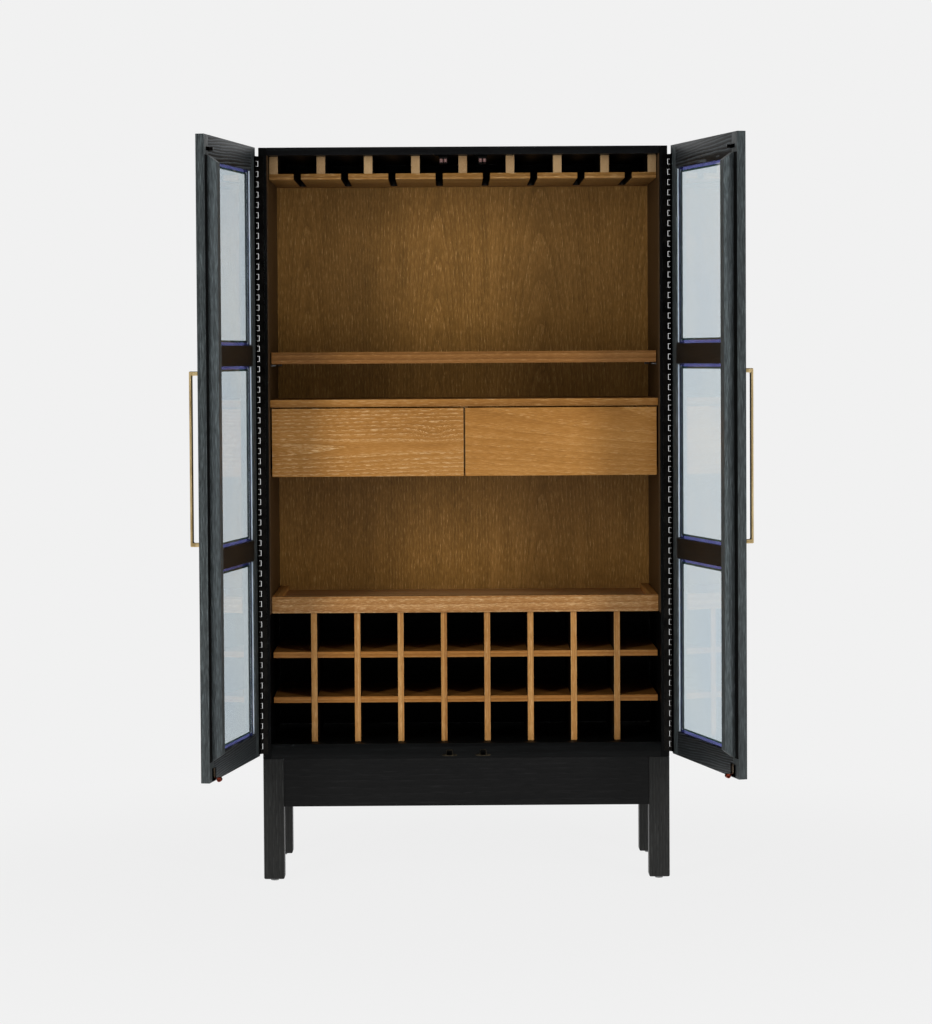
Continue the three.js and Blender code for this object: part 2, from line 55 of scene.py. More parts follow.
corners = [f"{end}_{side}" for side in ("left", "right") for end in ("front", "rear")]
print("armoire: frame loaded")


# Helpers for modelling by operators. Their sizes and places are in millimetres.

def inMetres(values):
    return [value * mm for value in values]


def boxOf(name):
    return [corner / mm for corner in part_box(name)]


def about(middle, width):
    return (middle - width / 2, middle + width / 2)


def pickOnly(*pieces):
    bpy.ops.object.select_all(action="DESELECT")
    for piece in pieces:
        piece.select_set(True)
    bpy.context.view_layer.objects.active = pieces[0]


def settle(*pieces):
    pickOnly(*pieces)
    bpy.ops.object.transform_apply(location=True, rotation=True, scale=True)


def nameIt(piece, name):
    piece.name = name
    piece.data.name = name
    return piece


def addBlock(name, xs, ys, zs):
    low = Vector((min(xs), min(ys), min(zs))) * mm
    high = Vector((max(xs), max(ys), max(zs))) * mm
    bpy.ops.mesh.primitive_cube_add(size=1, location=(low + high) / 2, scale=high - low)
    piece = nameIt(bpy.context.object, name)
    settle(piece)
    return piece


def addRod(name, radius, place, length, axis="z", sides=24):
    turn = {"x": (0, math.pi / 2, 0), "y": (math.pi / 2, 0, 0), "z": (0, 0, 0)}[axis]
    bpy.ops.mesh.primitive_cylinder_add(
        vertices=sides, radius=radius * mm, depth=length * mm, location=Vector(place) * mm, rotation=turn)
    piece = nameIt(bpy.context.object, name)
    settle(piece)
    return piece


def reshape(piece, kind, pick, *steps):
    pickOnly(piece)
    bpy.ops.object.mode_set(mode="EDIT")
    bpy.ops.mesh.select_mode(type=kind)
    bpy.ops.mesh.select_all(action="DESELECT")
    mesh = bmesh.from_edit_mesh(piece.data)
    for element in {"VERT": mesh.verts, "EDGE": mesh.edges, "FACE": mesh.faces}[kind]:
        if pick(element):
            element.select_set(True)
    bmesh.update_edit_mesh(piece.data)
    for step in steps:
        step()
    bpy.ops.object.mode_set(mode="OBJECT")


# Picks the faces that look one way
def facing(x=0, y=0, z=0):
    return lambda face: face.normal.dot(Vector((x, y, z))) > square


# Steps for reshape, which act on what it has picked
def insetBy(width, depth=0, **settings):
    return lambda: bpy.ops.mesh.inset(thickness=width * mm, depth=depth * mm, **settings)


def scaleBy(factors, centre=None):
    settings = {"center_override": inMetres(centre)} if centre else {}
    return lambda: bpy.ops.transform.resize(value=factors, **settings)


def moveBy(*step):
    return lambda: bpy.ops.transform.translate(value=inMetres(step))


def extrudeBy(*step):
    return lambda: bpy.ops.mesh.extrude_region_move(TRANSFORM_OT_translate={"value": inMetres(step)})


def applyModifier(piece, kind, **settings):
    modifier = piece.modifiers.new(kind.lower(), kind)
    for key, value in settings.items():
        setattr(modifier, key, value)
    pickOnly(piece)
    bpy.ops.object.modifier_apply(modifier=modifier.name)


# Edges over bevelFrom degrees get an arris, and those under smoothTo degrees are shaded smooth
edges = {"bevelFrom": 35, "smoothTo": 30, "weld": 0.02, "arris": 0.8}


def soften(piece, width, segments=2, angle=edges["bevelFrom"]):
    applyModifier(piece, "BEVEL", width=width * mm, segments=segments,
                  limit_method="ANGLE", angle_limit=math.radians(angle))
    pickOnly(piece)
    bpy.ops.object.shade_smooth_by_angle(angle=math.radians(edges["smoothTo"]))


def cutAway(piece, cutter):
    applyModifier(piece, "BOOLEAN", operation="DIFFERENCE", solver="EXACT", object=cutter)
    bpy.data.objects.remove(cutter)


def repeatAlong(piece, count, step):
    applyModifier(piece, "ARRAY", count=count, use_relative_offset=False, use_constant_offset=True,
                  constant_offset_displace=Vector(step) * mm)


def joinUp(name, *pieces):
    pickOnly(*pieces)
    bpy.ops.object.join()
    return nameIt(bpy.context.object, name)


def fit(piece, body, slot, material, *replaced, arris=0, segments=2):
    if arris:
        soften(piece, arris, segments)
    piece.data.materials.clear()
    piece.data.materials.append(material)
    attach(piece, body)
    if replaced:
        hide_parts(*replaced)


# Some faces of a piece get a second material
def paint(piece, material, pick):
    piece.data.materials.append(material)
    for face in piece.data.polygons:
        if pick(face):
            face.material_index = 1


# A CAD board keeps its shape and gets a softened arris and its own wood
def dress(name, material, arris=edges["arris"], segments=2):
    piece = nodes[name]
    weld = piece.modifiers.new("joinCorners", "WELD")
    weld.merge_threshold = edges["weld"] * mm
    bevel = piece.modifiers.new("softArris", "BEVEL")
    bevel.width = arris * mm
    bevel.segments = segments
    bevel.limit_method = "ANGLE"
    bevel.angle_limit = math.radians(edges["bevelFrom"])
    piece.material_slots[0].material = material


# Materials

def linear(code):
    values = [int(code[i:i + 2], 16) / 255 for i in (1, 3, 5)]
    return [v / 12.92 if v <= 0.04045 else ((v + 0.055) / 1.055) ** 2.4 for v in values] + [1]


def rampStops(places, colours):
    return [(place, linear(colour)) for place, colour in zip(places, colours)]


blackToWhite = ("#000000", "#ffffff")


# Inputs take values, sockets, or whole nodes, which stand for their first output
def addNode(tree, kind, inputs=None, operation=None, stops=None, **settings):
    node = tree.nodes.new("ShaderNode" + kind)
    if operation:
        node.operation = operation
    for key, value in settings.items():
        setattr(node, key, value)
    for key, value in (inputs or {}).items():
        if isinstance(value, bpy.types.Node):
            value = value.outputs[0]
        if isinstance(value, bpy.types.NodeSocket):
            tree.links.new(value, node.inputs[key])
        else:
            node.inputs[key].default_value = value
    if stops:
        elements = node.color_ramp.elements
        while len(elements) > 1:
            elements.remove(elements[0])
        elements[0].position, elements[0].color = stops[0]
        for position, colour in stops[1:]:
            elements.new(position).color = colour
    return node


def startMaterial(name):
    material = bpy.data.materials.new(name)
    material.use_nodes = True
    material.node_tree.nodes.clear()
    add = partial(addNode, material.node_tree)
    return material, add, add("TexCoord")


# The shader that ends a material: one pattern shifts its roughness, and another gives its relief.
# A noise's scale is 1000 over the size of its features in millimetres.
plain = {"ior": 1.5, "sheen": 0.5, "metallic": 0, "edge": "#ffffff"}


def finishMaterial(material, add, look, colour, pattern, relief):
    base = look["rough"]
    rough = add("MapRange", {"Value": pattern, "To Min": base - look["smoother"], "To Max": base + look["rougher"]})
    bump = add("Bump", {"Height": relief, "Strength": look["bump"], "Distance": look["bumpDepth"] * mm})
    shader = add("BsdfPrincipled", {
        "Base Color": colour, "Roughness": rough, "Normal": bump, "IOR": look["ior"], "Metallic": look["metallic"],
        "Specular IOR Level": look["sheen"], "Specular Tint": linear(look["edge"])})
    add("OutputMaterial", {"Surface": shader})
    return material


# Sawn and planed oak. The long grain runs along the log's own Z, which the mapping turns to lie on the board.
# At this view a pixel covers 2.5 mm, so the drawn streaks are a few millimetres wide, with finer pores between.
oak = {**plain, "tilt": 0, "lean": 0, "turn": 0, "stretch": 7, "poreStretch": 15, "wander": 7, "wanderScale": 0.12,
       "scatter": (1.7, 1.7, 1.7), "broadSize": 70, "streak": 2.5, "poreSize": 1.1, "ringPart": 0.35,
       "broadPart": 0.5, "streakPart": 0.6, "boardPart": 0.25, "spread": 0.3, "toneStops": (0, 0.5, 1),
       "earlyFrom": 0.4, "earlyTo": 0.95, "ringFloor": 0.3, "poreStops": (0.5, 0.66), "poreShow": 0.5,
       "limeStops": (0.56, 0.66), "limeShow": 0, "lime": "#d8b88c", "sideDarkFrom": 0.75, "sideDarkTo": 0.95,
       "bump": 0.35, "bumpDepth": 0.5, "smoother": 0.07, "rougher": 0.09}


def makeOak(name, grain, pith, base, **own):
    look = {**oak, **base, **own}
    material, add, coordinate = startMaterial(name)
    place = coordinate.outputs["Object"]
    boardShade = []
    if "boards" in look:  # every board of a row gets its own log and shade
        start, pitch = inMetres(look["boards"])
        parts = add("SeparateXYZ", {0: place})
        along = add("Math", {0: parts.outputs["X"], 1: start}, "SUBTRACT")
        step = add("Math", {0: along, 1: pitch}, "DIVIDE")
        index = add("Math", {0: step}, "FLOOR")
        dice = add("TexWhiteNoise", {"W": index}, noise_dimensions="1D")
        if "centred" in look:  # each leaf's arches stand in its own middle
            middle = add("Math", {0: index, 1: pitch, 2: start + pitch / 2}, "MULTIPLY_ADD")
            centre = add("CombineXYZ", {"X": middle})
            place = add("VectorMath", {0: place, 1: centre}, "SUBTRACT")
        shift = add("VectorMath", {0: dice.outputs["Color"], 1: look["scatter"]}, "MULTIPLY")
        place = add("VectorMath", {0: place, 1: shift}, "ADD")
        boardShade = [(dice.outputs["Value"], "boardPart")]
    if "knot" in look:  # the rings swell round a knot
        knot = look["knot"]
        away = add("VectorMath", {0: place, 1: inMetres(knot["place"])}, "SUBTRACT")
        scaled = add("VectorMath", {0: away, 1: [1000 / v for v in knot["size"]]}, "MULTIPLY")
        reach = add("VectorMath", {0: scaled, 1: scaled}, "DOT_PRODUCT")
        fall = add("Math", {0: 1 / math.e, 1: reach.outputs["Value"]}, "POWER")
        swell = add("VectorMath", {0: inMetres(knot["swell"]), "Scale": fall}, "SCALE")
        place = add("VectorMath", {0: place, 1: swell}, "ADD")

    tilt, lean, turn = look["tilt"], look["lean"], look["turn"]
    quarter = math.pi / 2
    turns = {"x": (tilt, quarter + lean, turn), "y": (quarter + tilt, lean, 0), "z": (tilt, lean, turn)}[grain]
    log = {"Vector": place, "Location": inMetres(pith), "Rotation": turns}
    ringFrame = add("Mapping", {**log, "Scale": (1, 1, look["stretch"])}, vector_type="TEXTURE")
    poreFrame = add("Mapping", {**log, "Scale": (1, 1, look["poreStretch"])}, vector_type="TEXTURE")
    ringScale = 314 / look["ringSpacing"]  # a ring wave repeats every 0.314 units
    wave = {"Vector": ringFrame, "Scale": ringScale, "Distortion": look["wander"], "Detail": 3,
            "Detail Scale": look["wanderScale"], "Detail Roughness": 0.55}
    rings = add("TexWave", wave, wave_type="RINGS", rings_direction="Z", wave_profile="SAW").outputs["Fac"]
    broad = add("TexNoise", {"Vector": ringFrame, "Scale": 1000 / look["broadSize"], "Detail": 3})
    streaks = add("TexNoise", {"Vector": poreFrame, "Scale": 1000 / look["streak"], "Detail": 3, "Roughness": 0.65})
    pores = add("TexNoise", {"Vector": poreFrame, "Scale": 1000 / look["poreSize"], "Detail": 2})

    level, middle = 0, 0
    for pattern, part in [(rings, "ringPart"), (broad, "broadPart"), (streaks, "streakPart")] + boardShade:
        level = add("Math", {0: pattern, 1: look[part], 2: level}, "MULTIPLY_ADD")
        middle += look[part] / 2
    spread = look["spread"]
    tone = add("MapRange", {"Value": level, "From Min": middle - spread, "From Max": middle + spread})
    colour = add("ValToRGB", {"Fac": tone}, stops=rampStops(look["toneStops"], look["tones"]))
    early = add("MapRange", {
        "Value": rings, "From Min": look["earlyFrom"], "From Max": look["earlyTo"], "To Min": look["ringFloor"]})
    shown = {}
    for layer, pattern in (("pore", pores), ("lime", streaks)):  # both lie mostly in each ring's early wood
        mask = add("ValToRGB", {"Fac": pattern}, stops=rampStops(look[f"{layer}Stops"], blackToWhite))
        ring = add("Math", {0: mask, 1: early}, "MULTIPLY")
        shown[layer] = add("Math", {0: ring, 1: look[f"{layer}Show"]}, "MULTIPLY")
        colour = add("MixRGB", {"Fac": shown[layer], "Color1": colour, "Color2": linear(look[layer])})
    if "sideStain" in look:  # the board's broad faces are drawn dark, and its front edge is bare oak
        normal = add("SeparateXYZ", {0: coordinate.outputs["Normal"]})
        broadside = add("Math", {0: normal.outputs["X"]}, "ABSOLUTE")
        darkened = add("MapRange", {"Value": broadside, "From Min": look["sideDarkFrom"], "From Max": look["sideDarkTo"]})
        colour = add("MixRGB", {"Fac": darkened, "Color1": colour, "Color2": linear(look["sideStain"])})
    relief = add("Math", {0: streaks, 1: shown["pore"]}, "SUBTRACT")
    return finishMaterial(material, add, look, colour, streaks, relief)


# Metals, cast, drawn or pressed, have a brushed or worn variation. Plastics and felt are even, with a fine grit.
surface = {**plain, "stretch": (1, 1, 1), "shadeFrom": -0.02, "shadeTo": 0.3}
metal = {**surface, "metallic": 1, "detail": 4, "detailRough": 0.6, "toneStops": (0.35, 0.62), "smoother": 0.06,
         "rougher": 0.1, "bump": 0.15, "bumpDepth": 0.1}
matt = {**surface, "detail": 3, "detailRough": 0.5, "toneStops": (0.35, 0.65), "smoother": 0, "rougher": 0,
        "bump": 0.2, "bumpDepth": 0.2}


def makeSurface(name, base, tones, **own):
    look = {**base, **own}
    material, add, coordinate = startMaterial(name)
    place = add("Mapping", {"Vector": coordinate.outputs["Object"], "Scale": look["stretch"]})
    cloud = add("TexNoise", {
        "Vector": place, "Scale": 1000 / look["patch"], "Detail": look["detail"], "Roughness": look["detailRough"]})
    fine = add("TexNoise", {"Vector": place, "Scale": 1000 / look["grit"], "Detail": 2})
    colour = add("ValToRGB", {"Fac": cloud}, stops=rampStops(look["toneStops"], tones))
    if "tarnished" in look:  # painted shade: the sides that face this way are drawn dark
        turned = add("VectorMath", {0: coordinate.outputs["Normal"], 1: look["tarnished"]}, "DOT_PRODUCT")
        share = add("MapRange", {
            "Value": turned.outputs["Value"], "From Min": look["shadeFrom"], "From Max": look["shadeTo"]})
        colour = add("MixRGB", {"Fac": share, "Color1": colour, "Color2": linear(look["tarnish"])})
    return finishMaterial(material, add, look, colour, cloud, fine)


# Float glass: faintly wavy, and clear, or tinted where it is ground to a bevel, which is a painted reflection. Its
# shade is what light passes it.
glazing = {"shade": "#6c7073", "toneStops": (0.3, 0.7), "ripple": 60, "rough": 0.05, "ior": 1.46, "bump": 0.05,
           "bumpDepth": 0.1}


def makeGlass(name, tones, **own):
    look = {**glazing, **own}
    material, add, coordinate = startMaterial(name)
    wave = add("TexNoise", {"Vector": coordinate.outputs["Object"], "Scale": 1000 / look["ripple"], "Detail": 1})
    tint = add("ValToRGB", {"Fac": wave}, stops=rampStops(look["toneStops"], tones))
    bump = add("Bump", {"Height": wave, "Strength": look["bump"], "Distance": look["bumpDepth"] * mm})
    shader = add("BsdfPrincipled", {
        "Base Color": tint, "Roughness": look["rough"], "IOR": look["ior"], "Transmission Weight": look["clear"],
        "Normal": bump})
    through = add("BsdfTransparent", {"Color": linear(look["shade"])})
    mixed = add("MixShader", {0: add("LightPath").outputs["Is Shadow Ray"], 1: shader, 2: through})
    add("OutputMaterial", {"Surface": mixed})
    return material


# Black stained oak under satin lacquer: the open pores stay visible as fine darker and lighter lines
blackStain = {"tones": ("#0a0b0c", "#111213", "#1a1b1d"), "pore": "#040505", "rough": 0.44, "ringSpacing": 8,
              "poreShow": 0.7, "sheen": 0.16, "bump": 0.6, "limeShow": 0.4, "lime": "#303335", "poreStretch": 25}
# Painted shade: the copies below draw the same black oak darker on the top, the bottom and the side panels, which
# stand in shade
shadedStain = {**blackStain, "tones": ("#070708", "#0c0c0d", "#131415"), "lime": "#1d1f20", "sheen": 0.12}
blackUpright = makeOak(
    "blackStainedOakUpright", "z", (130, 90, 0), shadedStain, tones=("#040404", "#060606", "#0b0b0c"), lime="#151616",
    sheen=0.1)
blackTop = makeOak("blackStainedOakTop", "x", (0, 210, 1900), shadedStain)
blackBottom = makeOak(
    "blackStainedOakBottom", "x", (0, 190, 240), shadedStain, tones=("#040404", "#070808", "#0d0e0e"))
blackAcross = makeOak(
    "blackStainedOakAcross", "x", (0, 210, 140), blackStain, tones=("#0a0b0c", "#121212", "#1a1a1a"),
    lime="#2b2b2b", spread=0.5)
blackDeep = makeOak("blackStainedOakFrontToBack", "y", (70, 0, 60), blackStain)
# Painted light: the legs are the same black oak drawn lighter, for the side lamps' sheen on their upright grain
blackLeg = makeOak(
    "blackStainedOakLeg", "z", (30, 90, 0), blackStain, tones=("#1c1c1c", "#2b2b2a", "#373837"), lime="#4c4d4c",
    spread=0.5, streak=1.8)
# Painted shade: nearly black oak for the stem rack's slot walls and block sides, which stand in shade
shadedSlot = makeOak(
    "shadedOakEdge", "y", (10, 0, 60), blackStain, tones=("#0b0806", "#120d09", "#1c140d"), lime="#2c2116")

# The doors' wood shows its grain more, with a light grey bloom. Its lighter tones are painted light, for the side
# lamps' glow on the doors' faces
doorStainAndLight = {**blackStain, "tones": ("#1f2223", "#3a3f40", "#565e5f"), "pore": "#0c0e0f", "lime": "#6b7577",
             "limeShow": 0.6, "spread": 0.26, "sheen": 0.3, "streak": 1.5, "poreStretch": 18, "streakPart": 1.1,
             "broadPart": 0.18, "ringPart": 0.2}
doorUpright = makeOak("blackStainedOakStile", "z", (300, 400, 0), doorStainAndLight)
# Painted light: the batten is drawn lighter still, for the lamp light on its face
doorBatten = makeOak(
    "blackStainedOakBatten", "z", (260, 300, 0), doorStainAndLight, tones=("#2a2e2f", "#464c4e", "#636c6e"))
railStain = {**doorStainAndLight, "ringPart": 1.6, "ringSpacing": 6.5, "streakPart": 0.4, "spread": 0.5, "wander": 14,
             "wanderScale": 0.3, "limeShow": 0.3}
# Painted shade: the muntins are drawn darker and browner than the stiles
muntinStainAndShade = {**doorStainAndLight, "tones": ("#1a1714", "#221f1b", "#2c2924"), "lime": "#3a3630"}

# Antique brass, polished in front. The sides that face the door and the case are drawn dark: painted shade for the
# door's shadow and its dark mirror image
handleMetal = {"tones": ("#ab8f5c", "#e6cb94"), "patch": 22, "grit": 0.9, "rough": 0.34, "metallic": 0.5,
               "stretch": (1, 1, 0.15), "tarnish": "#20160a"}
shadeWay = {"inwards": 0.75, "up": 0.66}

# The grain of a rail, and the painted shade of a handle, turn with the open door. The two sides' rail tones differ as
# painted light and shade
doorLooks = {"left": {"turn": math.radians(-99.94), "pithX": -560, "tones": ("#050606", "#222425", "#5a6165")},
             "right": {"turn": math.radians(103.69), "pithX": 530, "tones": ("#050606", "#1d1f20", "#4b5154")}}
doorRail, doorMuntin, handleBrass = {}, {}, {}
for side, look in doorLooks.items():
    turn = look["turn"]
    pith = (look["pithX"], 22, 1757)
    doorRail[side] = makeOak(
        f"blackStainedOak{side.title()}Rail", "x", pith, railStain, tones=look["tones"], turn=turn, lean=0.05)
    doorMuntin[side] = makeOak(f"blackStainedOak{side.title()}Muntin", "x", pith, muntinStainAndShade, turn=turn, lean=0.05)
    inwards = shadeWay["inwards"]
    tarnished = (-inwards * math.sin(turn), inwards * math.cos(turn), shadeWay["up"])
    handleBrass[side] = makeSurface(f"antiqueBrass{side.title()}Bar", metal, tarnished=tarnished, **handleMetal)

# Honey oak with pale filled pores: matte, with strong long streaks
limedStain = {"tones": ("#7f5322", "#a67235", "#c08d4e"), "pore": "#694218", "rough": 0.55, "ringSpacing": 9,
              "poreShow": 0.45, "sheen": 0.3, "limeShow": 0.6, "lime": "#d9b788", "streak": 1.6, "poreStretch": 13}
limedBoard = makeOak(
    "limedOakBoardEdge", "x", (0, 200, 1150), limedStain, tones=("#744b1e", "#9c6b32", "#b5844a"))
limedFloor = makeOak(
    "limedOakTrayFloor", "x", (0, 300, 610), limedStain, tones=("#a97a48", "#c69a67", "#d8b285"))
limedEdge = makeOak(
    "limedOakShelfEdge", "x", (0, 180, 1210), limedStain, tones=("#62401a", "#81562a", "#9a6c3c"), lime="#ad875a")
limedDeep = makeOak("limedOakFrontToBack", "y", (20, 0, 90), limedStain)
limedDrawerLeft = makeOak(
    "limedOakLeftDrawer", "x", (-250, 92, 1084), limedStain, lean=-0.012, turn=0.02, ringSpacing=8, ringPart=0.2,
    ringFloor=0.1, limeShow=0.95, wander=10, wanderScale=0.17, streak=1.15, poreStretch=15, limeStops=(0.52, 0.61),
    knot={"place": (-92, 72, 1116), "size": (44, 60, 22), "swell": (0, 12, 22)})
limedDrawerRight = makeOak(
    "limedOakRightDrawer", "x", (260, 240, 1180), limedStain, lean=0.02, turn=-0.03, ringSpacing=8, ringPart=0.16,
    limeShow=0.35, wander=8)
limedTray = makeOak(
    "limedOakTray", "x", (30, 130, 640), limedStain, tones=("#8b5c2e", "#a87845", "#bf9462"), limeShow=1,
    streakPart=1, streak=1.7, poreStretch=7)
limedDivider = makeOak(
    "limedOakDivider", "z", (60, 50, 0), limedStain, tones=("#8f6030", "#ad7b43", "#c3945a"), sideStain="#1a120b",
    boards=(-503.7, 108.7))
limedRackShelf = makeOak(
    "limedOakRackShelf", "x", (10, 70, 800), limedStain, tones=("#70471c", "#94612a", "#ad7a42"), lime="#a8814f")
limedBlock = makeOak(
    "limedOakEndGrainBlock", "y", (15, 0, 40), limedStain, tones=("#836442", "#9b7d58", "#b1946c"), pore="#6a4c30",
    lime="#c4ad88", ringSpacing=3.5, boards=(-544.6, 118.16))
stemOak = makeOak("limedOakStemBoard", "x", (0, 160, 1700), limedStain, tones=("#64421c", "#87602f", "#a07742"))

# Brown oak veneer: flat cut in leaves, so its rings stand as tall arches, with pale flecks
veneer = {"tones": ("#5c421d", "#825d2c", "#9d743e"), "pore": "#463014", "rough": 0.55, "ringSpacing": 8,
          "ringPart": 0.2, "stretch": 9, "poreShow": 0.6, "limeShow": 0.85, "lime": "#c09862",
          "limeStops": (0.58, 0.66), "sheen": 0.3, "streak": 1.5, "poreStretch": 38, "broadPart": 0.35,
          "broadSize": 28, "streakPart": 0.8}
brownUpright = makeOak(
    "brownOakVeneer", "z", (30, 490, 1500), veneer, tilt=0.07, boards=(-576.5, 315), centred=True,
    scatter=(0.06, 0.03, 1.7), boardPart=0.1)
# Painted shade: the side linings are the same veneer drawn darker, for the shade along the case's sides
brownLining = makeOak(
    "shadedOakLining", "z", (400, 300, 900), veneer, tones=("#30210f", "#422f1b", "#533e25"), pore="#221608",
    lime="#5a452a")

# Rotary cut birch under clear lacquer: pale, with soft shallow figure
birchPly = {"tones": ("#b8935f", "#c9a877", "#d8bb8e"), "pore": "#a8814e", "rough": 0.5, "ringSpacing": 22,
            "poreShow": 0.1, "bump": 0.1}
birchBoard = makeOak("lacqueredBirch", "x", (0, 300, 900), birchPly)

# Pressed and rolled fittings: blackened steel and brass, bright zinc, and lacquered or coppered springs
blackenedSteel = makeSurface(
    "blackenedRolledSteel", metal, ("#141312", "#242220"), patch=30, grit=0.8, rough=0.28, bump=0.05,
    edge="#7a7270")
zincSteel = makeSurface("zincPlatedSteel", metal, ("#5f6164", "#8c8f92"), patch=7, grit=0.6, rough=0.3)
blackenedBrass = makeSurface("blackenedBrassPlate", metal, ("#1c1914", "#453e31"), patch=6, grit=0.6, rough=0.3)
springSteel = makeSurface("lacqueredSpringSteel", metal, ("#8f7860", "#d2bfa4"), patch=6, grit=0.5, rough=0.3)
springCopper = makeSurface("copperedSpringSteel", metal, ("#6e2a1e", "#9c4634"), patch=5, grit=0.5, rough=0.3)

# Plastics are smooth and even, and the felt is rough and takes no shine
# The glazing bead's near-white colour is partly a painted highlight, for the shine along the pane's reveal
vinylAndHighlight = makeSurface("extrudedVinylAndHighlight", matt, ("#cfe0ea", "#eef7fc"), patch=60, grit=2, rough=0.25, bump=0.05)
rollerNylon = makeSurface("mouldedNylon", matt, ("#6e504c", "#927470"), patch=8, grit=0.7, rough=0.22)
glidePlastic = makeSurface("mouldedGreyPolythene", matt, ("#7f8081", "#98999a"), patch=9, grit=0.8, rough=0.45)
blackFelt = makeSurface(
    "pressedBlackFelt", matt, ("#050505", "#0c0c0c"), patch=6, grit=0.6, rough=0.95, bump=0.5, sheen=0.1)

# The ground bevels mirror violet and dark teal, so they are drawn tinted and less clear
clearGlass = makeGlass("clearFloatGlass", ("#e8f6ff", "#f0fbff"), ripple=260, rough=0.01, clear=1)
violetBevel = makeGlass("groundBevelOuter", ("#34378a", "#4a4ea4"), clear=0.6)
tealBevel = makeGlass("groundBevelInner", ("#16292c", "#27423f"), clear=0.3)
print("armoire: materials made")


# Case and base boards

boardArris = {"lining": 0.3, "rack": 0.5, "drawer": 0.9, "shelf": 1}
dress("top_panel", blackTop)
dress("oak_back_panel", brownUpright, boardArris["lining"])
for name in ("rear_panel", "front_apron", "rear_apron"):
    dress(name, blackAcross)
for side in ("left", "right"):
    dress(f"{side}_side_panel", blackUpright)
    dress(f"{side}_apron", blackDeep)
    dress(f"{side}_side_lining", brownLining, boardArris["lining"])

leg = {"chamfer": 2.5, "arris": 1.2, "glideHeight": 5.5, "glideRadius": 10, "glideInset": 2.5, "glideRim": 1.4,
       "glideSides": 32}


def makeLeg(name):
    low, high = boxOf(name)
    middle = (low + high) / 2
    glideTop = leg["glideHeight"]
    post = addBlock(f"{name}_post", (low.x, high.x), (low.y, high.y), (glideTop, high.z))
    reshape(post, "EDGE", lambda edge: all(abs(v.co.z - glideTop * mm) < tolerance for v in edge.verts),
            lambda: bpy.ops.mesh.bevel(offset=leg["chamfer"] * mm, segments=1, affect="EDGES"))
    fit(post, "case", "black_oak", blackLeg, name, arris=leg["arris"])
    glide = addRod(f"{name}_glide", leg["glideRadius"], (middle.x, middle.y, glideTop / 2), glideTop,
                   sides=leg["glideSides"])
    reshape(glide, "FACE", facing(z=-1), insetBy(leg["glideInset"]))
    fit(glide, "case", None, glidePlastic, name, arris=leg["glideRim"], segments=3)


for corner in corners:
    makeLeg(f"{corner}_leg")
print("armoire: case and base")


# Bottle rack, drawers and shelf

for index in range(1, 9):
    dress(f"rack_divider_{index}", limedDivider, boardArris["rack"])
for index in (1, 2):
    dress(f"rack_shelf_{index}", limedRackShelf, boardArris["rack"])
dress("drawer_top_board", limedBoard)
dress("drawer_floor_board", limedBoard)
dress("drawer_partition", birchBoard)
for side, wood in (("left", limedDrawerLeft), ("right", limedDrawerRight)):
    dress(f"{side}_drawer_front", wood, boardArris["drawer"])
    dress(f"{side}_drawer_runner", birchBoard, boardArris["rack"])
    dress(f"{side}_drawer_box", birchBoard, boardArris["rack"])
dress("bar_shelf", limedEdge, boardArris["shelf"])

# The collar on each shelf pin stands inside the lining, cut flat under the shelf
pin = {"reach": 12, "collarRadius": 4.2, "collarThickness": 1.6, "rim": 0.4}


def makeShelfPin(name):
    low, high = boxOf(name)
    middle = (low + high) / 2
    side = -1 if "left" in name else 1
    rod = addRod(f"{name}_rod", (high.z - low.z) / 2, middle, high.x - low.x, "x")
    liningX = (high.x if side < 0 else low.x) + side * pin["reach"]
    collar = addRod(f"{name}_collar", pin["collarRadius"],
                    (liningX - side * pin["collarThickness"] / 2, middle.y, middle.z), pin["collarThickness"], "x")
    reshape(collar, "VERT", lambda vert: vert.co.z / mm > high.z, scaleBy((1, 1, 0), (0, 0, high.z)))
    soften(rod, pin["rim"])
    fit(joinUp(f"{name}_set", rod, collar), "case", "steel", zincSteel, name)


for corner in corners:
    makeShelfPin(f"{corner}_shelf_pin")

# Serving tray: a mitred rim round three sides of a recessed floor
tray = {"rim": 22, "recess": 12, "arris": 1, "floorLip": 0.3}


def makeTray():
    low, high = boxOf("serving_tray")
    rim = tray["rim"]
    inner = (low.y + rim) * mm - tolerance
    front = addBlock("trayFrontRim", (low.x, high.x), (low.y, low.y + rim), (low.z, high.z))
    for side in (-1, 1):
        reshape(front, "VERT", lambda v: v.co.y > inner and v.co.x * side > 0, moveBy(-side * rim, 0, 0))
    fit(front, "tray", "limed_oak", limedTray, "serving_tray", arris=tray["arris"])
    for side, edge in ((-1, low.x), (1, high.x)):
        rail = addBlock(f"tray{sideName[side].title()}Rim", (edge, edge - side * rim), (low.y, high.y),
                        (low.z, high.z))
        middle = (edge - side * rim / 2) * mm
        reshape(rail, "VERT", lambda v: v.co.y < inner and (v.co.x - middle) * side < 0, moveBy(0, rim, 0))
        fit(rail, "tray", "limed_oak", limedDeep, "serving_tray", arris=tray["arris"])
    floor = addBlock("trayFloor", (low.x + rim, high.x - rim), (low.y + rim, high.y),
                     (low.z, high.z - tray["recess"]))
    fit(floor, "tray", "limed_oak", limedFloor, "serving_tray", arris=tray["floorLip"])


makeTray()

# Stemware rack: a slotted board hung from nine blocks. The slots' walls and the blocks' sides are drawn dark: painted
# shade.
stem = {"slots": 8, "slotWidth": 18.5, "slotSides": 32, "rearLand": 60.2, "boardThickness": 14, "blockWidth": 21.5,
        "cutterHeight": 40, "arris": 0.7, "blockArris": 0.6, "bareRim": 2, "wallSlope": 0.3}


